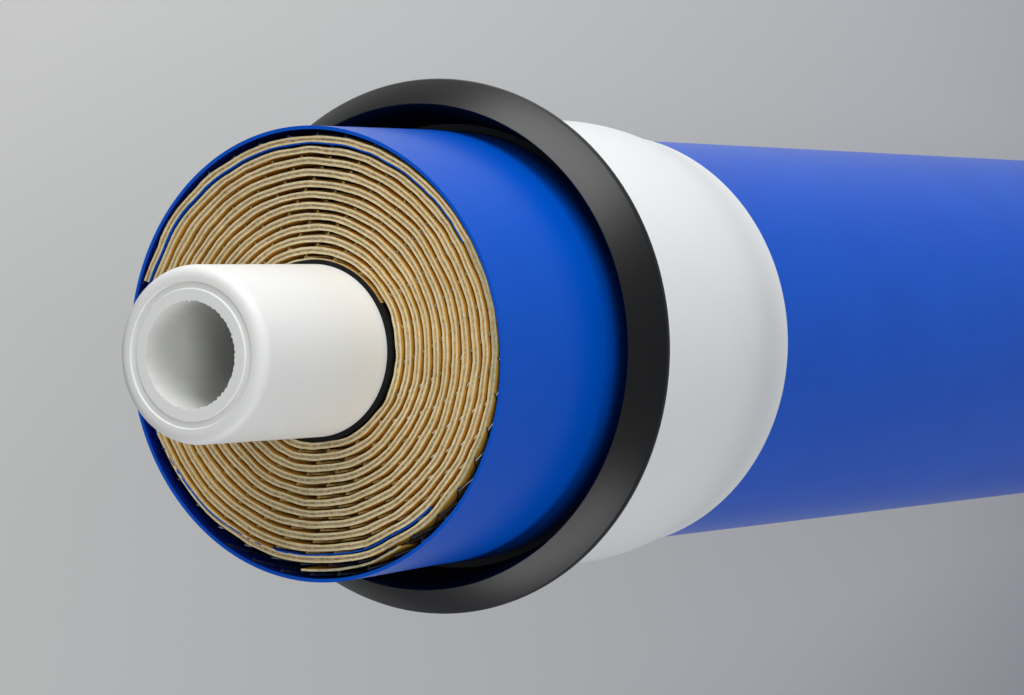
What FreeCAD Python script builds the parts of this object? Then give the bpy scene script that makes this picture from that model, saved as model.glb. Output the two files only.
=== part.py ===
"""Spiral-wound reverse osmosis membrane element of the 1812 household size.

The element stands on the open end of its permeate tube: +Z is up along the tube, the origin is
the centre of the tube's lower end face, and the feed end with the brine seal is on top.
Sizes are in millimetres.
"""
import FreeCAD, Part
import math
import os
import Sketcher

os.makedirs("parts", exist_ok=True)
doc = FreeCAD.newDocument("ro_membrane_element")

# ---------------------------------------------------------------- driving dimensions
SIZES = [
    ("roll_length", 254.0, "wound roll, from end face to end face"),
    ("feed_stub", 21.2, "tube standing out of the roll at the feed end"),
    ("permeate_stub", 22.8, "tube standing out of the roll at the permeate end"),
    ("tube_outer_dia", 17.0, "both stubs of the permeate tube"),
    ("tube_core_dia", 16.3, "permeate tube inside the roll"),
    ("tube_bore_dia", 10.3, "permeate tube"),
    ("tube_rim_chamfer", 0.8, "feed stub's outer rim"),
    ("blind_bore_depth", 34.0, "feed stub's bore, down to the partition"),
    ("partition_thickness", 5.0, "wall that keeps feed water out of the permeate"),
    ("mouth_ring_dia", 13.2, "shallow ring groove round the feed stub's mouth, middle"),
    ("mouth_ring_width", 0.6, "the same groove"),
    ("mouth_ring_depth", 0.35, "the same groove"),
    ("perforation_dia", 3.0, "holes through the tube's wall that let permeate in"),
    ("perforation_spacing", 54.0, "from hole to hole along the tube"),
    ("perforation_count", 4, "holes in the row"),
    ("perforation_start", 26.0, "first hole, above the roll's lower face"),
    ("nose_length", 1.6, "lead-in taper of the permeate end"),
    ("nose_depth", 0.5, "the same taper, measured along the radius"),
    ("o_ring_cord_dia", 1.8, "both seals of the permeate end"),
    ("o_ring_groove_depth", 1.35, "below the tube's outside"),
    ("o_ring_groove_width", 2.4, "along the tube"),
    ("o_ring_first_height", 6.0, "middle of the lower groove above the tube's end"),
    ("o_ring_spacing", 5.0, "from groove to groove"),
    ("core_wrap_thickness", 0.8, "black fleece round the tube"),
    ("leaf_start_thickness", 0.08, "leaf where its fold lies on the core"),
    ("leaf_thickness", 0.65, "membrane, permeate carrier and membrane, glued together"),
    ("channel_width", 0.44, "feed channel between two turns of the leaf, filled by the net"),
    ("leaf_turns", 11.4, "turns of the leaf, fold to outer end"),
    ("fold_bearing", 59.0, "fold of the leaf, clockwise from +Y seen from above"),
    ("net_setback", 1.2, "feed net cut shorter than the leaf at the feed end"),
    ("film_clearance", 0.03, "on each face of the film's inner layer"),
    ("film_start_turns", 10.0, "turns of the leaf below the inner end of the film"),
    ("film_lift_turns", 0.37, "film's way from the leaf's outer end out to the wrap"),
    ("film_thickness", 0.12, "one layer of the blue film"),
    ("wrap_thickness", 0.35, "blue film wound tight round the roll, all layers"),
    ("seal_clearance", 0.04, "between the wrap, the seal's sleeve and the tape"),
    ("seal_mouth_depth", 18.3, "inner edge of the lip below the roll's upper face"),
    ("lip_inner_rise", 2.6, "inner edge of the lip, outside the wrap"),
    ("lip_outer_rise", 5.3, "outer edge of the lip, outside the wrap"),
    ("lip_bevel_drop", 3.3, "outer edge of the lip below its inner edge"),
    ("lip_edge_land", 0.6, "blunt outer edge of the lip"),
    ("lip_back_length", 6.4, "back of the lip, down to the sleeve"),
    ("cavity_depth", 6.6, "feed-side groove between lip and wrap"),
    ("cavity_floor_width", 0.7, "bottom of that groove"),
    ("sleeve_length", 19.8, "rubber sleeve below the lip"),
    ("sleeve_thickness", 1.2, "rubber sleeve on the wrap"),
    ("tape_start_gap", 0.3, "white tape's upper edge below the back of the lip"),
    ("tape_slope_length", 7.2, "where the tape slopes off the sleeve's end onto the wrap"),
    ("tape_hem_length", 1.6, "tape on the wrap, below the slope"),
    ("tape_thickness", 0.45, "all layers of white tape"),
]

sheet = doc.addObject("Spreadsheet::Sheet", "Sizes")
for row, (alias, value, note) in enumerate(SIZES, start=1):
    sheet.set("A%d" % row, alias)
    sheet.set("B%d" % row, str(value))
    sheet.set("C%d" % row, note)
    sheet.setAlias("B%d" % row, alias)
doc.recompute()


def size(alias):
    """One value of the sheet, for the pieces whose shape is worked out in code."""
    return float(sheet.get(alias))


# Sizes that follow from the sheet, as expressions for the sketches and primitives.
TUBE_RADIUS = "Sizes.tube_outer_dia / 2"
BORE_RADIUS = "Sizes.tube_bore_dia / 2"
TUBE_TOP = "Sizes.permeate_stub + Sizes.roll_length + Sizes.feed_stub"
ROLL_TOP = "Sizes.permeate_stub + Sizes.roll_length"
CORE_RADIUS = "Sizes.tube_core_dia / 2 + Sizes.core_wrap_thickness"
WRAP_INSIDE = ("(" + CORE_RADIUS + " + Sizes.leaf_start_thickness + Sizes.channel_width"
               " + Sizes.leaf_turns * (Sizes.leaf_thickness + Sizes.channel_width))")
WRAP_RADIUS = "(" + WRAP_INSIDE + " + Sizes.wrap_thickness)"
SLEEVE_INSIDE = "(" + WRAP_RADIUS + " + Sizes.seal_clearance)"
SLEEVE_RADIUS = "(" + SLEEVE_INSIDE + " + Sizes.sleeve_thickness)"
LIP_MOUTH = "(" + ROLL_TOP + " - Sizes.seal_mouth_depth)"
LIP_EDGE = "(" + LIP_MOUTH + " - Sizes.lip_bevel_drop)"
LIP_ROOT = "(" + LIP_EDGE + " - Sizes.lip_edge_land - Sizes.lip_back_length)"
SLEEVE_END = "(" + LIP_ROOT + " - Sizes.sleeve_length)"
TAPE_FOOT = "(" + SLEEVE_END + " - Sizes.seal_clearance - Sizes.tape_slope_length)"


# ---------------------------------------------------------------- helpers
def new_body(name):
    body = doc.addObject("PartDesign::Body", name)
    body.Label = name
    return body


def plane_of(body, role):
    """One of the body's own origin planes, XY_Plane or XZ_Plane."""
    for feature in body.Origin.OriginFeatures:
        if feature.Role == role:
            return feature
    raise ValueError("no plane " + role)


def new_sketch(body, name, role):
    sketch = body.newObject("Sketcher::SketchObject", name)
    sketch.AttachmentSupport = [(plane_of(body, role), "")]
    sketch.MapMode = "FlatFace"
    return sketch


def drive(sketch, constraint, expression):
    """Add a constraint and tie its value to the sheet."""
    index = sketch.addConstraint(constraint)
    sketch.setExpression("Constraints[%d]" % index, expression)


def add_outline(sketch, corners):
    """Closed outline of straight edges through corners given as (x, y) expressions. The edges
    are first drawn as a regular polygon, and the sheet then drives them to their places."""
    draft = size("tube_outer_dia")
    count = len(corners)
    first = sketch.GeometryCount
    for i in range(count):
        a = 2 * math.pi * i / count
        b = 2 * math.pi * (i + 1) / count
        start = FreeCAD.Vector(math.cos(a) + 2, math.sin(a) + 2, 0) * draft
        end = FreeCAD.Vector(math.cos(b) + 2, math.sin(b) + 2, 0) * draft
        sketch.addGeometry(Part.LineSegment(start, end))
    for i in range(count):
        following = first + (i + 1) % count
        sketch.addConstraint(Sketcher.Constraint("Coincident", first + i, 2, following, 1))
    for i, (x, y) in enumerate(corners):
        line = first + i
        drive(sketch, Sketcher.Constraint("DistanceX", -1, 1, line, 1, draft), x)
        drive(sketch, Sketcher.Constraint("DistanceY", -1, 1, line, 1, draft), y)


def revolve(body, name, corners, kind="PartDesign::Revolution"):
    """Full turn of an outline in the XZ plane about +Z; the corners are (radius, height)."""
    sketch = new_sketch(body, name + "_outline", "XZ_Plane")
    add_outline(sketch, corners)
    doc.recompute()
    feature = body.newObject(kind, name)
    feature.Profile = sketch
    feature.ReferenceAxis = (sketch, ["V_Axis"])
    feature.Angle = 360
    doc.recompute()
    return feature


# ---------------------------------------------------------------- permeate tube
def groove_height(number):
    return "(Sizes.o_ring_first_height + %d * Sizes.o_ring_spacing)" % number


def make_permeate_tube():
    """Moulded core tube: blind feed stub, perforated middle, O-ring stub at the lower end."""
    body = new_body("permeate_tube")
    half_groove = "Sizes.o_ring_groove_width / 2"
    groove_floor = TUBE_RADIUS + " - Sizes.o_ring_groove_depth"
    nose_radius = TUBE_RADIUS + " - Sizes.nose_depth"
    partition_top = TUBE_TOP + " - Sizes.blind_bore_depth"
    partition_bottom = partition_top + " - Sizes.partition_thickness"
    # The section runs up the outside, down the blind bore, and down the axis and outlet bore.
    outline = [(BORE_RADIUS, "0"), (nose_radius, "0"), (TUBE_RADIUS, "Sizes.nose_length")]
    for number in (0, 1):
        low = groove_height(number) + " - " + half_groove
        high = groove_height(number) + " + " + half_groove
        outline += [(TUBE_RADIUS, low), (groove_floor, low), (groove_floor, high), (TUBE_RADIUS, high)]
    core = "Sizes.tube_core_dia / 2"
    outline += [(TUBE_RADIUS, "Sizes.permeate_stub"), (core, "Sizes.permeate_stub"), (core, ROLL_TOP),
                (TUBE_RADIUS, ROLL_TOP), (TUBE_RADIUS, TUBE_TOP)]
    outline += [(BORE_RADIUS, TUBE_TOP), (BORE_RADIUS, partition_top)]
    outline += [("0", partition_top), ("0", partition_bottom), (BORE_RADIUS, partition_bottom)]
    revolve(body, "tube", outline)

    ring_in = "(Sizes.mouth_ring_dia - Sizes.mouth_ring_width) / 2"
    ring_out = "(Sizes.mouth_ring_dia + Sizes.mouth_ring_width) / 2"
    ring_floor = TUBE_TOP + " - Sizes.mouth_ring_depth"
    revolve(body, "mouth_ring", [(ring_in, ring_floor), (ring_out, ring_floor),
                                 (ring_out, TUBE_TOP), (ring_in, TUBE_TOP)], "PartDesign::Groove")

    holes = new_sketch(body, "perforation_outline", "XZ_Plane")
    draft = size("perforation_start")
    hole = holes.addGeometry(Part.Circle(FreeCAD.Vector(0, draft, 0), FreeCAD.Vector(0, 0, 1), 1))
    holes.addConstraint(Sketcher.Constraint("PointOnObject", hole, 3, -2))
    drive(holes, Sketcher.Constraint("DistanceY", -1, 1, hole, 3, draft),
          "Sizes.permeate_stub + Sizes.perforation_start")
    drive(holes, Sketcher.Constraint("Diameter", hole, 2), "Sizes.perforation_dia")
    doc.recompute()
    pocket = body.newObject("PartDesign::Pocket", "perforation")
    pocket.Profile = holes
    pocket.Type = "ThroughAll"
    doc.recompute()
    row = body.newObject("PartDesign::LinearPattern", "perforation_row")
    row.Originals = [pocket]
    row.Direction = (holes, ["V_Axis"])
    row.setExpression("Occurrences", "Sizes.perforation_count")
    row.setExpression("Length", "Sizes.perforation_spacing * (Sizes.perforation_count - 1)")
    body.Tip = row
    doc.recompute()

    rim_radius = size("tube_outer_dia") / 2
    top = size("permeate_stub") + size("roll_length") + size("feed_stub")
    rim = body.newObject("PartDesign::Chamfer", "feed_rim")
    rim.Base = (row, [ring_edge(row.Shape, rim_radius, top)])
    rim.setExpression("Size", "Sizes.tube_rim_chamfer")
    body.Tip = rim
    doc.recompute()
    return body


def ring_edge(shape, radius, height):
    """Name of the round edge of that radius about +Z at that height."""
    for number, edge in enumerate(shape.Edges, start=1):
        curve = edge.Curve
        if curve.TypeId != "Part::GeomCircle":
            continue
        if abs(curve.Radius - radius) < 1e-3 and abs(curve.Center.z - height) < 1e-3:
            return "Edge%d" % number
    raise ValueError("no round edge at radius %.3f, height %.3f" % (radius, height))


# ---------------------------------------------------------------- O-rings
def make_o_ring(name, number):
    """Rubber O-ring in its groove. Its round cord is drawn with eight flats."""
    body = new_body(name)
    reach = "Sizes.o_ring_cord_dia / 2"
    flat = "Sizes.o_ring_cord_dia / 2 * (sqrt(2) - 1)"
    middle = "(" + TUBE_RADIUS + " - Sizes.o_ring_groove_depth + " + reach + ")"
    corners = [(reach, flat), (flat, reach), ("-" + flat, reach), ("-" + reach, flat),
               ("-" + reach, "-" + flat), ("-" + flat, "-" + reach), (flat, "-" + reach), (reach, "-" + flat)]
    revolve(body, name + "_ring", [(middle + " + " + across, groove_height(number) + " + " + along)
                                   for across, along in corners])
    return body


# ---------------------------------------------------------------- the wound roll
class Winding:
    """Curves of the roll's end face. Each half turn is an arc; the arcs' centres lie to either
    side of the tube's axis, a quarter of the pitch away, so each arc runs smoothly into the
    next and curves a constant distance apart share their centres."""

    def __init__(self):
        self.pitch = size("leaf_thickness") + size("channel_width")
        bearing = math.radians(size("fold_bearing"))
        self.start = math.pi / 2 - bearing

    def point(self, radius, turns, half_turn=None):
        """Point reached after some turns by the curve that leaves the fold at that radius."""
        if half_turn is None:
            half_turn = int(2 * turns + 1e-9)
        side = -1 if half_turn % 2 == 0 else 1
        arc_radius = radius + (2 * half_turn + 1) * self.pitch / 4
        centre = FreeCAD.Vector(math.cos(self.start), math.sin(self.start), 0) * (side * self.pitch / 4)
        angle = self.start - 2 * math.pi * turns
        return centre + FreeCAD.Vector(math.cos(angle), math.sin(angle), 0) * arc_radius

    def edges(self, radius, first, last):
        """Arcs of one curve, from so many turns to so many turns."""
        arcs = []
        begin = first
        while begin < last - 1e-9:
            half_turn = int(2 * begin + 1e-9)
            end = min((half_turn + 1) / 2, last)
            middle = (begin + end) / 2
            points = [self.point(radius, turns, half_turn) for turns in (begin, middle, end)]
            arcs.append(Part.Arc(*points).toShape())
            begin = end
        return arcs


def leaf_start_radius():
    """Outside of the leaf at its fold, where it lies on the core."""
    return size("tube_core_dia") / 2 + size("core_wrap_thickness") + size("leaf_start_thickness")


def face_inside(edges, hole):
    """Flat face inside a closed outline, with a hole."""
    outline = Part.Wire(Part.__sortEdges__(edges))
    return Part.makeFace([outline, hole], "Part::FaceMakerBullseye")


def new_feature(name, shape):
    feature = doc.addObject("Part::Feature", name)
    feature.Label = name
    feature.Shape = shape
    return feature


def make_membrane_roll():
    """Leaf and feed net wound together round the core, one solid. The leaf's turns stand
    proud of the net at the feed end, so the feed channel shows there as a spiral groove."""
    winding = Winding()
    outside = leaf_start_radius()
    inside = outside - size("leaf_thickness")
    turns = size("leaf_turns")
    last_half = int(2 * turns - 1e-9)
    core = Part.Wire(Part.makeCircle(outside - size("leaf_start_thickness")))

    leaf_edges = winding.edges(outside, 0, turns) + winding.edges(inside, 1, turns)
    leaf_edges.append(Part.makeLine(winding.point(inside, turns, last_half),
                                    winding.point(outside, turns, last_half)))
    leaf_edges.append(Part.makeLine(winding.point(outside, 0), winding.point(inside, 1)))

    # Below the groove the net fills the channel. Beside the film's inner layer it is pressed
    # thinner, and past that layer it lies between the leaf's last turn and the wrap.
    net_outside = outside + size("channel_width") - size("film_clearance")
    pressed = net_outside - size("film_thickness") - size("film_clearance")
    film_start = size("film_start_turns")
    film_end = turns - 1 + size("film_lift_turns")
    block_edges = winding.edges(net_outside, film_end, turns)
    block_edges += winding.edges(pressed, film_start, film_end)
    block_edges += winding.edges(inside, film_start + 1, turns)
    block_edges.append(Part.makeLine(winding.point(net_outside, film_end), winding.point(pressed, film_end)))
    block_edges.append(Part.makeLine(winding.point(pressed, film_start),
                                     winding.point(inside, film_start + 1)))
    block_edges.append(Part.makeLine(winding.point(inside, turns, last_half),
                                     winding.point(net_outside, turns, last_half)))

    setback = size("net_setback")
    block_height = size("roll_length") - setback
    leaf_face = face_inside(leaf_edges, core)
    leaf_face.translate(FreeCAD.Vector(0, 0, block_height))
    leaf_ends = leaf_face.extrude(FreeCAD.Vector(0, 0, setback))
    block = face_inside(block_edges, core).extrude(FreeCAD.Vector(0, 0, block_height))
    roll = new_feature("membrane_roll", block.fuse(leaf_ends).removeSplitter())
    roll.Placement.Base.z = size("permeate_stub")
    return roll


def bowed_edge(begin, end, bulge):
    """Arc between two points, bowed outwards to that radius half way."""
    middle = begin + end
    middle.normalize()
    return Part.Arc(begin, middle * bulge, end).toShape()


def make_outer_wrap():
    """Blue film: its first layer starts under the leaf's last turn, runs out past the leaf's
    end and becomes the tight wrap round the roll."""
    winding = Winding()
    clearance = size("film_clearance")
    outer_face = leaf_start_radius() + size("channel_width") - clearance
    inner_face = outer_face - size("film_thickness")
    first = size("film_start_turns") + clearance / (2 * math.pi * leaf_start_radius())
    lift = size("leaf_turns") - 1
    lift_half = int(2 * lift - 1e-9)
    landing = lift + size("film_lift_turns")
    wrap_inside = leaf_start_radius() + size("leaf_turns") * winding.pitch + size("channel_width")

    def on_wrap(turns):
        angle = winding.start - 2 * math.pi * turns
        return FreeCAD.Vector(math.cos(angle), math.sin(angle), 0) * wrap_inside

    leave_out = winding.point(outer_face, lift, lift_half)
    leave_in = winding.point(inner_face, lift, lift_half)
    climb = wrap_inside - leave_out.Length
    overlap = size("film_lift_turns") * size("film_thickness") / climb
    land_out = on_wrap(landing)
    land_in = on_wrap(landing + overlap)
    half_way = on_wrap(landing + overlap + (1 - overlap) / 2)
    edges = winding.edges(outer_face, first, lift) + winding.edges(inner_face, first, lift)
    edges.append(Part.makeLine(winding.point(inner_face, first), winding.point(outer_face, first)))
    edges.append(bowed_edge(leave_out, land_out, (leave_out.Length + wrap_inside) / 2))
    edges.append(bowed_edge(leave_in, land_in, (leave_in.Length + wrap_inside) / 2))
    edges.append(Part.Arc(land_in, half_way, land_out).toShape())
    hole = Part.Wire(Part.__sortEdges__(edges))
    rim = Part.makeCircle(wrap_inside + size("wrap_thickness"))
    face = face_inside([rim], hole)
    wrap = new_feature("outer_wrap", face.extrude(FreeCAD.Vector(0, 0, size("roll_length"))))
    wrap.Placement.Base.z = size("permeate_stub")
    return wrap


def make_core_wrap():
    """Black fleece layer between the perforated tube and the leaf."""
    body = new_body("core_wrap")
    inside = "Sizes.tube_core_dia / 2"
    revolve(body, "fleece", [(inside, "Sizes.permeate_stub"), (CORE_RADIUS, "Sizes.permeate_stub"),
                             (CORE_RADIUS, ROLL_TOP), (inside, ROLL_TOP)])
    return body


# ---------------------------------------------------------------- brine seal and its tape
def make_brine_seal():
    """Rubber cup seal: a lip that opens towards the feed end, on a sleeve round the wrap."""
    body = new_body("brine_seal")
    lip_inner = WRAP_RADIUS + " + Sizes.lip_inner_rise"
    lip_outer = WRAP_RADIUS + " + Sizes.lip_outer_rise"
    cavity_floor = LIP_MOUTH + " - Sizes.cavity_depth"
    outline = [(SLEEVE_INSIDE, SLEEVE_END),
               (SLEEVE_RADIUS, SLEEVE_END),
               (SLEEVE_RADIUS, LIP_ROOT),
               (lip_outer, LIP_EDGE + " - Sizes.lip_edge_land"),
               (lip_outer, LIP_EDGE),
               (lip_inner, LIP_MOUTH),
               (SLEEVE_INSIDE + " + Sizes.cavity_floor_width", cavity_floor),
               (SLEEVE_INSIDE, cavity_floor)]
    revolve(body, "seal", outline)
    return body


def make_seal_tape():
    """White tape: holds the seal's sleeve down and slopes off its end onto the wrap."""
    body = new_body("seal_tape")
    on_sleeve = "(" + SLEEVE_RADIUS + " + Sizes.seal_clearance)"
    on_wrap = "(" + WRAP_RADIUS + " + Sizes.seal_clearance)"
    layers = " + Sizes.tape_thickness"
    start = LIP_ROOT + " - Sizes.tape_start_gap"
    shoulder = SLEEVE_END + " - Sizes.seal_clearance"
    end = TAPE_FOOT + " - Sizes.tape_hem_length"
    outline = [(on_wrap, end), (on_wrap + layers, end), (on_wrap + layers, TAPE_FOOT),
               (on_sleeve + layers, shoulder), (on_sleeve + layers, start),
               (on_sleeve, start), (on_sleeve, shoulder), (on_wrap, TAPE_FOOT)]
    revolve(body, "tape", outline)
    return body


# ---------------------------------------------------------------- build and write
parts = [
    make_permeate_tube(),
    make_o_ring("lower_o_ring", 0),
    make_o_ring("upper_o_ring", 1),
    make_core_wrap(),
    make_membrane_roll(),
    make_outer_wrap(),
    make_brine_seal(),
    make_seal_tape(),
]
doc.recompute()

for item in doc.Objects:
    if "Invalid" in item.State or "Error" in item.State:
        raise RuntimeError("%s did not compute: %s" % (item.Name, item.State))
for part in parts:
    if part.Shape.isNull() or not part.Shape.isValid():
        raise RuntimeError("%s has no valid shape" % part.Label)
for part in parts:
    part.Shape.exportStep("parts/%s.step" % part.Label)
    box = part.Shape.BoundBox
    print("%-14s solids %d volume %10.1f z %7.2f to %7.2f dia %6.2f"
          % (part.Label, len(part.Shape.Solids), part.Shape.Volume, box.ZMin, box.ZMax, box.XLength))
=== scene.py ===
"""Dressed model of a spiral-wound reverse osmosis element, standing on its permeate end.

Sizes are in millimetres, the unit of the drawing, and MM turns them to metres. Bearings are in
degrees clockwise from +Y, seen from the feed end, which is the upper end.
"""

import math

import bpy
from mathutils import Matrix, Vector


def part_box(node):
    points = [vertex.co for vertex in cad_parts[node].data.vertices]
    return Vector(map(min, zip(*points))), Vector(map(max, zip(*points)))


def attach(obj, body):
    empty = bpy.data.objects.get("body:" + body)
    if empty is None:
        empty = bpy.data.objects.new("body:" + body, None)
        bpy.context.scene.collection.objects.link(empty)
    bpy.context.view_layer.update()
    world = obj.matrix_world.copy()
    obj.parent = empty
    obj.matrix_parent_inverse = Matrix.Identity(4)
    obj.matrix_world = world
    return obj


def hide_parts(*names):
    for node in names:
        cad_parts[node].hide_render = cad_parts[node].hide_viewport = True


MM = 0.001
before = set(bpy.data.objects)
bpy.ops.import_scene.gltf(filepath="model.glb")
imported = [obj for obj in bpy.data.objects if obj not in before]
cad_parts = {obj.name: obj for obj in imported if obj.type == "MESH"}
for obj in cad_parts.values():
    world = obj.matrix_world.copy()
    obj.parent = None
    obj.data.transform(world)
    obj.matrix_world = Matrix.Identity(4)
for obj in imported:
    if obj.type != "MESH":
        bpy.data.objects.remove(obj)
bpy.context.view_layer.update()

# ---------------------------------------------------------------- sizes
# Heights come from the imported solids.
TUBE_LOW, TUBE_HIGH = (corner[2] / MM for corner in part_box("permeate_tube"))
ROLL_LOW, ROLL_HIGH = (corner[2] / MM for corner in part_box("outer_wrap"))
SEAL_LOW, SEAL_HIGH = (corner[2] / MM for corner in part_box("brine_seal"))
TAPE_LOW, TAPE_HIGH = (corner[2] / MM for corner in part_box("seal_tape"))
WRAP_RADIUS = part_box("outer_wrap")[1][0] / MM
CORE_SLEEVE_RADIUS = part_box("core_wrap")[1][0] / MM
LIP_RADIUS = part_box("brine_seal")[1][0] / MM

# Permeate tube
TUBE_RADIUS = 8.5
CORE_RADIUS = 8.15
BORE_RADIUS = 5.15
BORE_DEPTH = 34.0
PARTITION = 5.0
RIM_ROUND = 1.15
MOUTH_TEETH = 56
MOUTH_LAND = 0.6
GROOVE_DEPTH = 1.35
GROOVE_WIDTH = 2.4
O_RING_HEIGHTS = {"lower_o_ring": 6.0, "upper_o_ring": 11.0}
O_RING_CORD_RADIUS = 0.9

# Wound roll
LEAF = 0.65
CHANNEL = 0.44
PITCH = LEAF + CHANNEL
LEAF_TURNS = 11.4
FOLD_BEARING = 59.0
LEAF_START = CORE_SLEEVE_RADIUS + 0.08
MEMBRANE = 0.21
STEPS_PER_TURN = 144
FILM = 0.12
FILM_CLEARANCE = 0.03
WRAP = 0.35
WRAP_INSIDE = WRAP_RADIUS - WRAP
FACE_LEVELS = (18.0, 12.0, 7.0, 3.0)  # depths below the cut face where the wall can bend
CARRIER_RECESS = 0.12

# The film's first layer, in turns of the leaf: where it starts, leaves the leaf, meets the wrap
FILM_START = 10.0
FILM_LIFT = 10.4
FILM_LANDING = 10.77

# Feed net
NET_DEPTH = 7.0
NET_SPACING = 3.4
NET_STRAND = 0.24
OUTER_STRAND = 0.2
NET_CLEARANCE = 0.03
NET_SETBACK = 0.15
NET_START = 0.02
NET_LOWS = (ROLL_LOW + NET_SETBACK, ROLL_HIGH - NET_SETBACK - NET_DEPTH)
WRAP_NET_BEARING = 214
WRAP_NET_SWEEP = 112

# Seal and tape
SEAL_CLEARANCE = 0.04
SLEEVE = 1.2
LIP_BEVEL_DROP = 3.3
LIP_LAND = 0.6
LIP_BACK = 6.4
TAPE_SLOPE = 7.2

# Tolerances for welding and for finding vertices by their place
WELD = 0.002
NEAR = 0.01


# ---------------------------------------------------------------- modelling helpers
def bearing_vector(bearing):
    angle = math.radians(bearing)
    return Vector((math.sin(angle), math.cos(angle), 0.0))


def start_piece(name, place):
    """New mesh of one selected vertex, at a place in mm, left in edit mode."""
    bpy.ops.object.select_all(action="DESELECT")
    bpy.ops.mesh.primitive_plane_add(size=MM, location=(0, 0, 0))
    piece = bpy.context.object
    piece.name = piece.data.name = name
    bpy.ops.object.mode_set(mode="EDIT")
    bpy.ops.mesh.merge(type="CENTER")
    bpy.ops.transform.translate(value=place * MM)
    return piece


def draw_section(name, corners, bearing=90.0, centre=Vector((0, 0, 0))):
    """Chain of edges through (radius, height) corners, in the upright plane at a bearing."""
    out = bearing_vector(bearing)
    places = [centre + out * radius + Vector((0, 0, height)) for radius, height in corners]
    piece = start_piece(name, places[0])
    for here, there in zip(places, places[1:]):
        bpy.ops.mesh.extrude_region_move(TRANSFORM_OT_translate={"value": (there - here) * MM})
    return piece


def select_where(piece, test, parts="vertices"):
    """Select the vertices, or the faces by their middle and normal, that pass a test in mm."""
    bpy.ops.object.mode_set(mode="OBJECT")
    mesh = piece.data
    for group in (mesh.vertices, mesh.edges, mesh.polygons):
        group.foreach_set("select", [False] * len(group))
    if parts == "vertices":
        for vertex in mesh.vertices:
            vertex.select = bool(test(vertex.co / MM))
    else:
        for face in mesh.polygons:
            face.select = bool(test(face.center / MM, face.normal))
    bpy.ops.object.mode_set(mode="EDIT")
    bpy.ops.mesh.select_mode(type="VERT" if parts == "vertices" else "FACE")


def round_corner(piece, radius, height, size, segments=4):
    """Round one corner of a section that is still a chain of edges at bearing 90."""
    select_where(piece, lambda at: abs(at.x - radius) < 1e-3 and abs(at.z - height) < 1e-3)
    bpy.ops.mesh.bevel(offset=size * MM, segments=segments, affect="VERTICES")


def close_mesh(piece, smooth_angle=35.0):
    """Weld the seams, point the faces outwards, and shade curved faces smooth in object mode."""
    bpy.ops.mesh.select_all(action="SELECT")
    bpy.ops.mesh.remove_doubles(threshold=WELD * MM)
    bpy.ops.mesh.normals_make_consistent(inside=False)
    bpy.ops.object.mode_set(mode="OBJECT")
    bpy.ops.object.select_all(action="DESELECT")
    piece.select_set(True)
    bpy.context.view_layer.objects.active = piece
    bpy.ops.object.shade_smooth_by_angle(angle=math.radians(smooth_angle))


def turn_section(steps=144):
    """Full turn of the drawn section about the tube's axis."""
    bpy.ops.mesh.select_all(action="SELECT")
    bpy.ops.mesh.spin(steps=steps, angle=2 * math.pi, center=(0, 0, 0), axis=(0, 0, 1))


def finish_piece(piece, material, slot, *nodes):
    """Give a piece its finish, attach it to the root body, and hide the CAD nodes it stands in for."""
    if material is not None:
        piece.data.materials.clear()
        piece.data.materials.append(material)
    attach(piece, "root")
    if nodes:
        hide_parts(*nodes)


def apply_modifier(piece, kind, **settings):
    """Add a modifier with its settings and apply it."""
    modifier = piece.modifiers.new(kind.lower(), kind)
    for name, value in settings.items():
        setattr(modifier, name, value)
    bpy.ops.object.select_all(action="DESELECT")
    piece.select_set(True)
    bpy.context.view_layer.objects.active = piece
    bpy.ops.object.modifier_apply(modifier=modifier.name)


def join_pieces(first, *others):
    bpy.ops.object.select_all(action="DESELECT")
    for piece in (first,) + others:
        piece.select_set(True)
    bpy.context.view_layer.objects.active = first
    bpy.ops.object.join()
    return first


# ---------------------------------------------------------------- material helpers
def colour(code):
    """Linear colour of an sRGB hex code."""
    channels = [int(code[i:i + 2], 16) / 255 for i in (1, 3, 5)]
    return [c / 12.92 if c <= 0.04045 else ((c + 0.055) / 1.055) ** 2.4 for c in channels] + [1.0]


def new_material(name):
    """Empty material with its output and surface shader."""
    material = bpy.data.materials.new(name)
    material.use_nodes = True
    tree = material.node_tree
    return material, tree, tree.nodes["Principled BSDF"]


def add_node(tree, kind, links=(), **settings):
    """Add a node: settings name its values or, as in_NAME, its sockets; links join sockets to it."""
    node = tree.nodes.new(kind)
    for name, value in settings.items():
        if name.startswith("in_"):
            node.inputs[name[3:].replace("_", " ")].default_value = value
        else:
            setattr(node, name, value)
    for output, socket in links:
        tree.links.new(output, node.inputs[socket])
    return node


def set_shader(shader, **values):
    for name, value in values.items():
        shader.inputs[name.replace("_", " ")].default_value = value


# ---------------------------------------------------------------- materials
def moulded_polypropylene():
    """White polypropylene, injection moulded: satin, a little waxy, with faint flow clouds."""
    material, tree, shader = new_material("moulded_polypropylene")
    set_shader(shader, Roughness=0.42, IOR=1.49, Subsurface_Weight=0.15, Subsurface_Scale=0.002)
    place = add_node(tree, "ShaderNodeTexCoord").outputs["Object"]
    clouds = add_node(tree, "ShaderNodeTexNoise", [(place, "Vector")], in_Scale=1 / (9 * MM), in_Detail=3.0)
    tint = add_node(tree, "ShaderNodeValToRGB", [(clouds.outputs["Fac"], "Fac")])
    tint.color_ramp.elements[0].color = colour("#EEEFEC")
    tint.color_ramp.elements[1].color = colour("#F6F7F4")
    grain = add_node(tree, "ShaderNodeTexNoise", [(place, "Vector")], in_Scale=1 / (0.35 * MM))
    bump = add_node(tree, "ShaderNodeBump", [(grain.outputs["Fac"], "Height")],
                    in_Strength=0.12, in_Distance=0.02 * MM)
    tree.links.new(tint.outputs["Color"], shader.inputs["Base Color"])
    tree.links.new(bump.outputs["Normal"], shader.inputs["Normal"])
    return material


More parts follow.
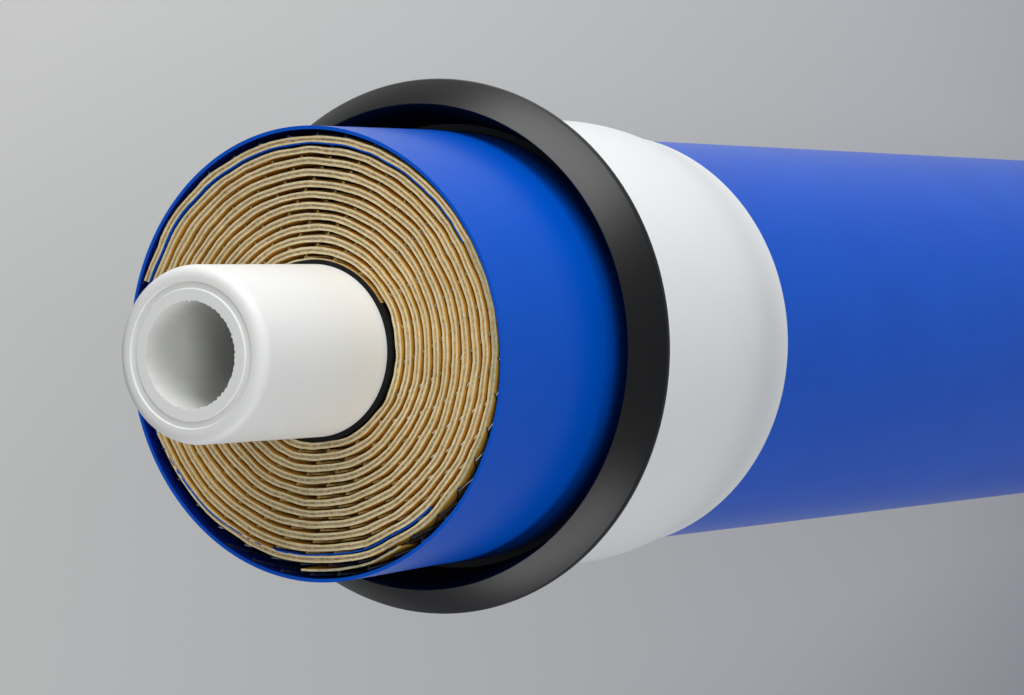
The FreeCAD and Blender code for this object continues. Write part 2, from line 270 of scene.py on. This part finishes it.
def cut_sheet(name, dark, light, grain_mm, roughness=0.8):
    """Cut edge or face of a fibrous sheet: matte, mottled by its fibres."""
    material, tree, shader = new_material(name)
    set_shader(shader, Roughness=roughness, IOR=1.5)
    place = add_node(tree, "ShaderNodeTexCoord").outputs["Object"]
    fibres = add_node(tree, "ShaderNodeTexNoise", [(place, "Vector")],
                      in_Scale=1 / (grain_mm * MM), in_Detail=4.0, in_Roughness=0.6)
    tint = add_node(tree, "ShaderNodeValToRGB", [(fibres.outputs["Fac"], "Fac")])
    tint.color_ramp.elements[0].position = 0.35
    tint.color_ramp.elements[0].color = colour(dark)
    tint.color_ramp.elements[1].position = 0.65
    tint.color_ramp.elements[1].color = colour(light)
    bump = add_node(tree, "ShaderNodeBump", [(fibres.outputs["Fac"], "Height")],
                    in_Strength=0.6, in_Distance=0.06 * MM)
    tree.links.new(tint.outputs["Color"], shader.inputs["Base Color"])
    tree.links.new(bump.outputs["Normal"], shader.inputs["Normal"])
    return material


def net_plastic(name, code):
    """Extruded polypropylene net: glassy, so its cut ends glint in the channel."""
    material, tree, shader = new_material(name)
    set_shader(shader, Roughness=0.18, IOR=1.49, Coat_Weight=0.4)
    place = add_node(tree, "ShaderNodeTexCoord").outputs["Object"]
    haze = add_node(tree, "ShaderNodeTexNoise", [(place, "Vector")], in_Scale=1 / (0.8 * MM))
    tint = add_node(tree, "ShaderNodeHueSaturation", [(haze.outputs["Fac"], "Value")], in_Color=colour(code))
    tree.links.new(tint.outputs["Color"], shader.inputs["Base Color"])
    return material


def blue_film():
    """Blue polypropylene film tape: deep colour, glossy, slightly rippled by the net below."""
    material, tree, shader = new_material("blue_film")
    set_shader(shader, Roughness=0.3, IOR=1.47, Specular_IOR_Level=0.22)
    place = add_node(tree, "ShaderNodeTexCoord").outputs["Object"]
    haze = add_node(tree, "ShaderNodeTexNoise", [(place, "Vector")], in_Scale=1 / (14 * MM), in_Detail=2.0)
    tint = add_node(tree, "ShaderNodeValToRGB", [(haze.outputs["Fac"], "Fac")])
    tint.color_ramp.elements[0].color = colour("#0050C4")
    tint.color_ramp.elements[1].color = colour("#005AD2")
    ripple = add_node(tree, "ShaderNodeTexNoise", [(place, "Vector")], in_Scale=1 / (2.5 * MM), in_Detail=2.0)
    bump = add_node(tree, "ShaderNodeBump", [(ripple.outputs["Fac"], "Height")],
                    in_Strength=0.15, in_Distance=0.05 * MM)
    tree.links.new(tint.outputs["Color"], shader.inputs["Base Color"])
    tree.links.new(bump.outputs["Normal"], shader.inputs["Normal"])
    return material


def moulded_rubber():
    """Black EPDM rubber, trimmed on a lathe: satin, with hair-fine rings from the tool."""
    material, tree, shader = new_material("moulded_rubber")
    set_shader(shader, Roughness=0.38, IOR=1.52)
    shader.inputs["Base Color"].default_value = colour("#0B0B0C")
    place = add_node(tree, "ShaderNodeTexCoord").outputs["Object"]
    split = add_node(tree, "ShaderNodeSeparateXYZ", [(place, "Vector")])
    flat = add_node(tree, "ShaderNodeCombineXYZ", [(split.outputs["X"], "X"), (split.outputs["Y"], "Y")])
    radius = add_node(tree, "ShaderNodeVectorMath", [(flat.outputs["Vector"], 0)], operation="LENGTH")
    rings = add_node(tree, "ShaderNodeCombineXYZ", [(radius.outputs["Value"], "X"), (split.outputs["Z"], "Z")])
    marks = add_node(tree, "ShaderNodeTexNoise", [(rings.outputs["Vector"], "Vector")],
                     in_Scale=1 / (0.25 * MM), in_Detail=3.0)
    bump = add_node(tree, "ShaderNodeBump", [(marks.outputs["Fac"], "Height")],
                    in_Strength=0.35, in_Distance=0.03 * MM)
    tree.links.new(bump.outputs["Normal"], shader.inputs["Normal"])
    return material


def vinyl_tape():
    """White vinyl tape: smooth with a soft sheen, faintly uneven where it was stretched."""
    material, tree, shader = new_material("vinyl_tape")
    set_shader(shader, Roughness=0.45, IOR=1.5, Coat_Weight=0.15, Coat_Roughness=0.3)
    place = add_node(tree, "ShaderNodeTexCoord").outputs["Object"]
    pull = add_node(tree, "ShaderNodeTexNoise", [(place, "Vector")], in_Scale=1 / (11 * MM), in_Detail=2.0)
    tint = add_node(tree, "ShaderNodeValToRGB", [(pull.outputs["Fac"], "Fac")])
    tint.color_ramp.elements[0].color = colour("#E6E9E8")
    tint.color_ramp.elements[1].color = colour("#F0F2F1")
    bump = add_node(tree, "ShaderNodeBump", [(pull.outputs["Fac"], "Height")],
                    in_Strength=0.1, in_Distance=0.1 * MM)
    tree.links.new(tint.outputs["Color"], shader.inputs["Base Color"])
    tree.links.new(bump.outputs["Normal"], shader.inputs["Normal"])
    return material


WHITE_PLASTIC = moulded_polypropylene()
MEMBRANE_EDGE = cut_sheet("membrane_edge", "#D8C593", "#EBDCB4", 0.5)
CARRIER_EDGE = cut_sheet("carrier_edge", "#9C9070", "#DCD0B0", 0.4)
MEMBRANE_FACE = cut_sheet("membrane_face", "#D8A23C", "#E9BC5C", 1.5, roughness=0.55)
OUTER_LEAF_EDGE = cut_sheet("outer_leaf_edge", "#A8A482", "#C9C4A2", 0.5)
# Near-black ring round the tube, darker than the black rubber.
CORE_SLEEVE_FINISH = cut_sheet("core_sleeve_near_black", "#020202", "#0B0B0B", 0.3, roughness=0.95)
NET = net_plastic("feed_net_plastic", "#D9B66C")
# The net's last turn is the same clear net; its dark navy is painted shade of the narrow gap between the blue
# film layers.
NET_PAINTED_SHADE = net_plastic("outer_net_painted_shade", "#27375C")
# The wrap's inside is the same blue film; this darker navy copy is painted shade where the film faces into the
# roll.
FILM_PAINTED_SHADE = cut_sheet("film_inside_painted_shade", "#021A6E", "#04258C", 2.0, roughness=0.4)
BLUE_FILM = blue_film()
RUBBER = moulded_rubber()
WHITE_TAPE = vinyl_tape()


# ---------------------------------------------------------------- permeate tube
def make_permeate_tube():
    """Moulded tube: rounded rim, ring groove and toothed bore mouth at the feed end."""
    top, low = TUBE_HIGH, TUBE_LOW
    partition_top = top - BORE_DEPTH
    partition_low = partition_top - PARTITION
    ring_in, ring_out, ring_depth, ring_slope = 6.2, 7.0, 0.16, 0.1
    nose, nose_drop = 1.6, 0.5
    corners = [(0, partition_top), (BORE_RADIUS, partition_top), (BORE_RADIUS, top - MOUTH_LAND),
               (BORE_RADIUS, top), (ring_in, top), (ring_in + ring_slope, top - ring_depth),
               (ring_out - ring_slope, top - ring_depth), (ring_out, top), (TUBE_RADIUS, top),
               (TUBE_RADIUS, ROLL_HIGH), (CORE_RADIUS, ROLL_HIGH), (CORE_RADIUS, ROLL_LOW),
               (TUBE_RADIUS, ROLL_LOW)]
    for height in reversed(O_RING_HEIGHTS.values()):
        corners += [(TUBE_RADIUS, height + GROOVE_WIDTH / 2),
                    (TUBE_RADIUS - GROOVE_DEPTH, height + GROOVE_WIDTH / 2),
                    (TUBE_RADIUS - GROOVE_DEPTH, height - GROOVE_WIDTH / 2),
                    (TUBE_RADIUS, height - GROOVE_WIDTH / 2)]
    corners += [(TUBE_RADIUS, low + nose), (TUBE_RADIUS - nose_drop, low), (BORE_RADIUS, low),
                (BORE_RADIUS, partition_low), (0, partition_low)]
    tube = draw_section("permeate_tube_moulding", corners)
    round_corner(tube, TUBE_RADIUS, top, RIM_ROUND, 6)
    round_corner(tube, TUBE_RADIUS, low + nose, 0.6, 3)
    round_corner(tube, BORE_RADIUS, low, 0.3, 3)
    turn_section(steps=3 * MOUTH_TEETH)
    close_mesh(tube)

    # The cut leaves fine, uneven teeth round the bore's mouth: three counts of vertices that
    # fall in and out of step are each drawn a little inwards.
    for reach, every in ((0.985, 3), (0.988, 7), (0.985, 11)):
        def is_tooth(at):
            step = round(math.degrees(math.atan2(at.x, at.y)) / 360 * 3 * MOUTH_TEETH)
            return at.z > top - NEAR and at.xy.length < BORE_RADIUS + NEAR and step % every == 0
        select_where(tube, is_tooth)
        bpy.ops.transform.resize(value=(reach, reach, 1.0), center_override=(0, 0, top * MM))
    bpy.ops.object.mode_set(mode="OBJECT")
    finish_piece(tube, WHITE_PLASTIC, "permeate_tube", "permeate_tube")


def make_o_rings():
    """Two round rubber rings in the grooves of the permeate end."""
    for node, height in O_RING_HEIGHTS.items():
        bpy.ops.object.select_all(action="DESELECT")
        cord = O_RING_CORD_RADIUS
        bpy.ops.mesh.primitive_torus_add(
            major_radius=(TUBE_RADIUS - GROOVE_DEPTH + cord) * MM, minor_radius=cord * MM,
            major_segments=96, minor_segments=20)
        ring = bpy.context.object
        ring.name = node + "_cord"
        bpy.ops.object.mode_set(mode="EDIT")
        bpy.ops.transform.translate(value=(0, 0, height * MM))
        close_mesh(ring, 60.0)
        finish_piece(ring, RUBBER, node, node)


# ---------------------------------------------------------------- wound roll
def spiral_centre(half_turn):
    """Half turns are arcs whose centres lie to either side of the axis, a quarter pitch away."""
    side = -1 if half_turn % 2 == 0 else 1
    return bearing_vector(FOLD_BEARING) * (side * PITCH / 4)


def spiral_radius(half_turn):
    """Arc radius of the leaf's outside in a half turn."""
    return LEAF_START + (2 * half_turn + 1) * PITCH / 4


def wind(name, corners, first, last):
    """Section of (offset from the leaf's outside, height) corners, wound from turn to turn."""
    half_turn = int(2 * first + 1e-9)
    radius = spiral_radius(half_turn)
    piece = draw_section(name, [(radius + offset, height) for offset, height in corners],
                         FOLD_BEARING + 360 * first, spiral_centre(half_turn))
    bpy.ops.mesh.select_all(action="SELECT")
    turns = first
    while turns < last - 1e-9:
        half_turn = int(2 * turns + 1e-9)
        end = min((half_turn + 1) / 2, last)
        bpy.ops.mesh.spin(steps=max(2, round((end - turns) * STEPS_PER_TURN)),
                          angle=2 * math.pi * (end - turns),
                          center=spiral_centre(half_turn) * MM, axis=(0, 0, -1))
        turns = end
    return piece


def cap_ends():
    """Close the two open ends of a wound strip."""
    bpy.ops.mesh.select_all(action="SELECT")
    bpy.ops.mesh.remove_doubles(threshold=WELD * MM)
    bpy.ops.mesh.select_all(action="SELECT")
    bpy.ops.mesh.fill_holes(sides=0)


def leaf_section(inner, outer, recess):
    """Closed section of the leaf; the carrier between its two membranes is cut a little short."""
    levels = [(ROLL_HIGH - depth) for depth in FACE_LEVELS]
    corners = [(inner, ROLL_LOW)] + [(inner, height) for height in levels] + [(inner, ROLL_HIGH)]
    if recess:
        corners += [(inner + MEMBRANE, ROLL_HIGH), (inner + MEMBRANE, ROLL_HIGH - recess),
                    (outer - MEMBRANE, ROLL_HIGH - recess), (outer - MEMBRANE, ROLL_HIGH)]
    corners += [(outer, ROLL_HIGH)] + [(outer, height) for height in reversed(levels)]
    corners += [(outer, ROLL_LOW)]
    if recess:
        corners += [(outer - MEMBRANE, ROLL_LOW), (outer - MEMBRANE, ROLL_LOW + recess),
                    (inner + MEMBRANE, ROLL_LOW + recess), (inner + MEMBRANE, ROLL_LOW)]
    return corners + [(inner, ROLL_LOW)]


def make_membrane_leaf():
    """Glued envelope of membrane, carrier and membrane, wound round the core."""
    leaf = wind("membrane_leaf_wound", leaf_section(-LEAF, 0, CARRIER_RECESS), 0.0, LEAF_TURNS - 0.04)
    cap_ends()
    close_mesh(leaf, 30.0)
    flap = wind("leaf_end_flap", leaf_section(-MEMBRANE, 0, 0), LEAF_TURNS - 0.05, LEAF_TURNS + 0.04)
    cap_ends()
    close_mesh(flap, 30.0)
    leaf = join_pieces(leaf, flap)
    leaf.data.materials.clear()
    for material in (MEMBRANE_FACE, MEMBRANE_EDGE, CARRIER_EDGE, OUTER_LEAF_EDGE):
        leaf.data.materials.append(material)
    edge, carrier, outer_edge = 1, 2, 3
    last_turn, greyer_sweep = FILM_START + 0.7, 150
    for face in leaf.data.polygons:
        if abs(face.normal.z) > 0.9:
            height = face.center.z / MM
            recessed = ROLL_LOW + CARRIER_RECESS / 2 < height < ROLL_HIGH - CARRIER_RECESS / 2
            face.material_index = carrier if recessed else edge
            bearing = math.degrees(math.atan2(face.center.x, face.center.y))
            on_film = LEAF_START + PITCH * (last_turn + (bearing - FOLD_BEARING) / 360)
            if 0 < bearing - FOLD_BEARING < greyer_sweep and face.center.xy.length / MM > on_film - 0.4:
                face.material_index = outer_edge
    return leaf


def finish_path():
    """Turn the drawn chain of edges into a curve that strips can be bent to."""
    path = bpy.context.object
    bpy.ops.object.mode_set(mode="OBJECT")
    bpy.ops.object.select_all(action="DESELECT")
    path.select_set(True)
    bpy.ops.object.convert(target="CURVE")
    path = bpy.context.object
    path.data.dimensions = "3D"
    path.data.twist_mode = "Z_UP"
    return path


def make_net_row(name, path, length, strand, lean, level, low):
    """Row of sloping strands: one is modelled flat, repeated, and bent to the path."""
    cuts = 5
    bpy.ops.object.select_all(action="DESELECT")
    bpy.ops.mesh.primitive_cylinder_add(vertices=5, radius=strand / 2 * MM, depth=NET_DEPTH * MM)
    net = bpy.context.object
    net.name = name
    bpy.ops.object.mode_set(mode="EDIT")
    for cut in range(1, cuts):
        bpy.ops.mesh.select_all(action="SELECT")
        bpy.ops.mesh.bisect(plane_co=(0, 0, (cut / cuts - 0.5) * NET_DEPTH * MM), plane_no=(0, 0, 1))
    # A strand leans by as much as it climbs, so two rows of opposite lean cross at right angles.
    for cut in range(cuts + 1):
        height = (cut / cuts - 0.5) * NET_DEPTH
        select_where(net, lambda at: abs(at.z - height) < NEAR)
        bpy.ops.transform.translate(value=(lean * height * MM, 0, 0))
    bpy.ops.mesh.select_all(action="SELECT")
    bpy.ops.transform.translate(value=(NET_SPACING / 2 * MM, level * MM, (low + NET_DEPTH / 2) * MM))
    bpy.ops.object.mode_set(mode="OBJECT")
    apply_modifier(net, "ARRAY", count=int(length / NET_SPACING), use_relative_offset=False,
                   use_constant_offset=True, constant_offset_displace=(NET_SPACING * MM, 0, 0))
    apply_modifier(net, "CURVE", object=path, deform_axis="POS_X")
    return net


def make_net_rows(name, path, strand, lows):
    """Two crossing rows of strands along a path, at each of the given heights."""
    bpy.context.view_layer.update()
    length = sum(spline.calc_length() for spline in path.data.splines) / MM
    rows = [make_net_row(name, path, length, strand, lean, lean * 0.4 * strand, low)
            for low in lows for lean in (1, -1)]
    bpy.data.objects.remove(path)
    return join_pieces(*rows)


def make_feed_net():
    """Net in the channel: open strands at both cut ends, a solid strip between them."""
    low, high = ROLL_LOW + NET_DEPTH, ROLL_HIGH - NET_DEPTH
    inner, outer = NET_CLEARANCE, CHANNEL - NET_CLEARANCE
    bed = wind("feed_net", [(inner, low), (inner, high), (outer, high), (outer, low), (inner, low)],
               NET_START, FILM_START)
    cap_ends()
    close_mesh(bed)
    wind("net_path", [(CHANNEL / 2, 0)], NET_START, FILM_START)
    strands = make_net_rows("feed_net_strands", finish_path(), NET_STRAND, NET_LOWS)
    return join_pieces(bed, strands)


def make_outer_net():
    """The net's last turn: one row pair over the leaf, and one under the wrap."""
    wind("outer_net_path", [(0.17, 0)], FILM_START, LEAF_TURNS - 0.02)
    inner = make_net_rows("outer_net", finish_path(), OUTER_STRAND, NET_LOWS)
    start_piece("wrap_net_path", bearing_vector(WRAP_NET_BEARING) * (WRAP_INSIDE - OUTER_STRAND))
    bpy.ops.mesh.spin(steps=60, angle=math.radians(WRAP_NET_SWEEP), center=(0, 0, 0),
                      axis=(0, 0, -1))
    outer = make_net_rows("wrap_net", finish_path(), OUTER_STRAND, NET_LOWS)
    return join_pieces(inner, outer)


def make_film_start():
    """First layer of the film: under the leaf's last turn, then out to the wrap."""
    outer = CHANNEL - FILM_CLEARANCE
    inner = outer - FILM
    levels = [ROLL_HIGH - depth for depth in FACE_LEVELS]
    corners = [(inner, ROLL_LOW)] + [(inner, height) for height in levels] + [(inner, ROLL_HIGH)]
    corners += [(outer, ROLL_HIGH)] + [(outer, height) for height in reversed(levels)]
    corners += [(outer, ROLL_LOW), (inner, ROLL_LOW)]
    film = wind("film_first_layer", corners, FILM_START, FILM_LIFT)
    lift = 2 * math.pi * (FILM_LANDING - FILM_LIFT)
    climb = WRAP_INSIDE - (LEAF_START + FILM_LIFT * PITCH + outer)
    shift = climb / (1 - math.cos(lift))
    bpy.ops.mesh.spin(steps=48, angle=lift, axis=(0, 0, -1),
                      center=bearing_vector(FOLD_BEARING + 360 * FILM_LANDING) * shift * MM)
    cap_ends()
    close_mesh(film, 30.0)
    return film


def add_wobble(piece, size_mm, strength_mm, direction):
    """Uneven hand of the winding: a soft noise in space, the same for all wound pieces."""
    texture = bpy.data.textures.new("winding_wobble", "CLOUDS")
    texture.cloud_type = "COLOR"
    texture.noise_scale = size_mm * MM
    apply_modifier(piece, "DISPLACE", texture=texture, texture_coords="LOCAL",
                   direction=direction, strength=strength_mm * MM, mid_level=0.5)


def press_out_of_round(piece, lean, lean_bearing, oval, oval_bearing, swell):
    """A cage moves the feed end out of round; the roll is round again where the seal holds it."""
    top, low = ROLL_HIGH + 1, SEAL_HIGH
    bpy.ops.object.select_all(action="DESELECT")
    bpy.ops.object.add(type="LATTICE", location=(0, 0, (top + low) / 2 * MM))
    cage = bpy.context.object
    reach = 24.0
    cage.scale = (2 * reach * MM, 2 * reach * MM, (top - low) * MM)
    cage.data.points_u = cage.data.points_v = 9
    cage.data.points_w = 4
    leaning = bearing_vector(lean_bearing)
    for point in cage.data.points:
        flat = Vector((point.co.x, point.co.y, 0)) * 2 * reach
        share = max(0.0, (flat.length - CORE_SLEEVE_RADIUS) / (WRAP_RADIUS - CORE_SLEEVE_RADIUS))
        share *= min(1.0, max(0.0, point.co.z + 0.5))
        if flat.length < 1e-6:
            continue
        out = flat.normalized()
        turn = math.atan2(out.x, out.y) - math.radians(oval_bearing)
        grow = swell + lean * out.dot(leaning) + oval * math.cos(2 * turn)
        moved = out * grow * share
        point.co_deform = point.co + Vector((moved.x / (2 * reach), moved.y / (2 * reach), 0))
    bpy.context.view_layer.update()
    apply_modifier(piece, "LATTICE", object=cage)
    bpy.data.objects.remove(cage)


def make_roll():
    """Leaf, net and the film's first layer, wound together."""
    leaf = make_membrane_leaf()
    add_wobble(leaf, 1.6, 0.1, "NORMAL")
    net, outer_net, film = make_feed_net(), make_outer_net(), make_film_start()
    for piece in (leaf, net, outer_net, film):
        add_wobble(piece, 4.5, 0.5, "RGB_TO_XYZ")
        press_out_of_round(piece, 0.45, 240.0, 0.0, 0.0, 0.2)
    finish_piece(leaf, None, "membrane_roll", "membrane_roll")
    finish_piece(net, NET, "membrane_roll")
    finish_piece(outer_net, NET_PAINTED_SHADE, "membrane_roll")
    finish_piece(film, BLUE_FILM, "outer_wrap")


def make_outer_wrap():
    """Blue film wound tight round the roll, open at both cut ends."""
    levels = [ROLL_HIGH - depth for depth in FACE_LEVELS]
    corners = [(WRAP_INSIDE, ROLL_LOW)] + [(WRAP_INSIDE, height) for height in levels]
    corners += [(WRAP_INSIDE, ROLL_HIGH), (WRAP_RADIUS, ROLL_HIGH)]
    corners += [(WRAP_RADIUS, height) for height in reversed(levels)]
    corners += [(WRAP_RADIUS, ROLL_LOW), (WRAP_INSIDE, ROLL_LOW)]
    wrap = draw_section("outer_wrap_film", corners)
    turn_section(steps=192)
    close_mesh(wrap)
    press_out_of_round(wrap, 0.72, 236.0, 0.39, -23.0, 0.0)
    wrap.data.materials.clear()
    wrap.data.materials.append(BLUE_FILM)
    wrap.data.materials.append(FILM_PAINTED_SHADE)
    # Faces turned in towards the roll take the darker navy copy of the film, a painted shade.
    flat = Vector((1, 1, 0))
    for face in wrap.data.polygons:
        faces_in = face.normal.dot(face.center * flat) < -0.5 * WRAP_INSIDE * MM
        face.material_index = 1 if faces_in else 0
    finish_piece(wrap, None, "outer_wrap", "outer_wrap")


def make_core_sleeve():
    """Near-black sleeve round the tube; it stands a hair proud of the leaf."""
    corners = [(CORE_RADIUS, ROLL_LOW), (CORE_RADIUS, ROLL_HIGH - 0.02), (TUBE_RADIUS, ROLL_HIGH - 0.02),
               (TUBE_RADIUS + 0.02, ROLL_HIGH + 0.25), (CORE_SLEEVE_RADIUS, ROLL_HIGH + 0.2),
               (CORE_SLEEVE_RADIUS, ROLL_LOW), (CORE_RADIUS, ROLL_LOW)]
    core_sleeve = draw_section("core_sleeve_ring", corners)
    turn_section(steps=192)
    close_mesh(core_sleeve)
    finish_piece(core_sleeve, CORE_SLEEVE_FINISH, "core_wrap", "core_wrap")


# ---------------------------------------------------------------- brine seal and tape
SEAL_INSIDE = WRAP_RADIUS + SEAL_CLEARANCE
SLEEVE_RADIUS = SEAL_INSIDE + SLEEVE
LIP_EDGE = SEAL_HIGH - LIP_BEVEL_DROP
LIP_ROOT = LIP_EDGE - LIP_LAND - LIP_BACK


def make_brine_seal():
    """Cup seal: flared lip with a turned bevel, on a sleeve round the film."""
    cavity_floor = SEAL_HIGH - 6.6
    lip_inner = WRAP_RADIUS + 2.6
    seal = draw_section("brine_seal_rubber", [
        (SEAL_INSIDE, SEAL_LOW), (SEAL_INSIDE, cavity_floor), (SEAL_INSIDE + 0.7, cavity_floor),
        (lip_inner, SEAL_HIGH), (LIP_RADIUS, LIP_EDGE), (LIP_RADIUS, LIP_EDGE - LIP_LAND),
        (SLEEVE_RADIUS, LIP_ROOT), (SLEEVE_RADIUS, SEAL_LOW), (SEAL_INSIDE, SEAL_LOW)])
    round_corner(seal, lip_inner, SEAL_HIGH, 0.15, 3)
    round_corner(seal, LIP_RADIUS, LIP_EDGE, 0.25, 4)
    round_corner(seal, LIP_RADIUS, LIP_EDGE - LIP_LAND, 0.2, 3)
    round_corner(seal, SLEEVE_RADIUS, LIP_ROOT, 0.6, 4)
    turn_section(steps=192)
    close_mesh(seal)
    finish_piece(seal, RUBBER, "brine_seal", "brine_seal")


def make_seal_tape():
    """White tape over the sleeve; it slopes off the sleeve's end onto the film."""
    tape, gap = 0.45, SEAL_CLEARANCE
    on_sleeve = SLEEVE_RADIUS + gap
    on_wrap = WRAP_RADIUS + gap
    shoulder = SEAL_LOW - gap
    foot = shoulder - TAPE_SLOPE
    collar = draw_section("seal_tape_band", [
        (on_wrap, TAPE_LOW), (on_wrap, foot), (on_sleeve, shoulder), (on_sleeve, TAPE_HIGH),
        (on_sleeve + tape, TAPE_HIGH), (on_sleeve + tape, shoulder), (on_wrap + tape, foot),
        (on_wrap + tape, TAPE_LOW), (on_wrap, TAPE_LOW)])
    round_corner(collar, on_sleeve + tape, TAPE_HIGH, 0.15, 3)
    round_corner(collar, on_sleeve + tape, shoulder, 2.5, 5)
    round_corner(collar, on_wrap + tape, foot, 2.0, 4)
    turn_section(steps=192)
    close_mesh(collar)
    finish_piece(collar, WHITE_TAPE, "seal_tape", "seal_tape")


# ---------------------------------------------------------------- room
def make_floor():
    """Pale tabletop with a painted lamp falloff: lightest towards -X and +Y, with painted shade greying it
    towards +X and -Y.
    """
    bpy.ops.object.select_all(action="DESELECT")
    bpy.ops.mesh.primitive_plane_add(size=6.0)
    floor = bpy.context.object
    floor.name = "tabletop"
    material, tree, shader = new_material("tabletop_painted_falloff")
    set_shader(shader, Roughness=0.8, Specular_IOR_Level=0.2)
    place = add_node(tree, "ShaderNodeTexCoord").outputs["Object"]
    slope = add_node(tree, "ShaderNodeVectorMath", [(place, 0)], operation="DOT_PRODUCT")
    slope.inputs[1].default_value = (1.0, -0.6, 0.0)
    share = add_node(tree, "ShaderNodeMapRange", [(slope.outputs["Value"], "Value")],
                     in_From_Min=-0.28, in_From_Max=0.02)
    # Painted light and shade: this ramp stands in for a lamp's falloff across the floor, and the blue film
    # reflects its grey.
    shade = add_node(tree, "ShaderNodeValToRGB", [(share.outputs["Result"], "Fac")])
    shade.color_ramp.elements[0].color = colour("#EDEDEA")
    shade.color_ramp.elements[1].color = colour("#9C9EA6")
    tree.links.new(shade.outputs["Color"], shader.inputs["Base Color"])
    floor.data.materials.append(material)


def add_lamp(name, place, target, size, power, glossy=True):
    """Area lamp in watts; a lamp that is not glossy leaves no reflection on the part."""
    bpy.ops.object.light_add(type="AREA", location=place)
    lamp = bpy.context.object
    lamp.name = name
    lamp.data.shape = "RECTANGLE"
    lamp.data.size, lamp.data.size_y = size
    lamp.data.energy = power
    lamp.visible_glossy = glossy
    lamp.rotation_euler = (Vector(target) - Vector(place)).to_track_quat("-Z", "Y").to_euler()


def make_lights():
    world = bpy.data.worlds.new("studio")
    bpy.context.scene.world = world
    world.use_nodes = True
    world.node_tree.nodes["Background"].inputs["Color"].default_value = colour("#E8ECF2")
    world.node_tree.nodes["Background"].inputs["Strength"].default_value = 0.25
    add_lamp("upper_softbox", (0.2, 0.75, 0.5), (0, 0, 0.2), (0.8, 0.6), 6.5)
    add_lamp("lower_softbox", (0.2, -0.8, 0.45), (0, 0, 0.2), (0.8, 0.4), 3.0)
    add_lamp("front_fill", (0.75, 0.05, 0.95), (0, 0, 0.2), (0.3, 0.3), 2.5, glossy=False)


def place_camera():
    """Long lens near the feed end, to the +X side, with +Y up in its frame."""
    back = Vector((0.515, 0.0159, 0.857)).normalized()
    right = Vector((0, 1, 0)).cross(back).normalized()
    up = back.cross(right)
    turn = Matrix.Rotation(math.radians(-0.55), 3, back) @ Matrix((right, up, back)).transposed()
    end_face = Vector((0, 0, ROLL_HIGH))
    place = end_face + (turn @ Vector((19.3, 0.3, 397.1)))
    bpy.ops.object.camera_add(location=place * MM, rotation=turn.to_euler())
    camera = bpy.context.object
    camera.data.lens = 142.0
    camera.data.sensor_width = 36.0
    camera.data.clip_start = 0.01
    bpy.context.scene.camera = camera


make_permeate_tube()
make_o_rings()
make_roll()
make_outer_wrap()
make_core_sleeve()
make_brine_seal()
make_seal_tape()
make_floor()
make_lights()
place_camera()
bpy.context.scene.view_settings.view_transform = "Standard"
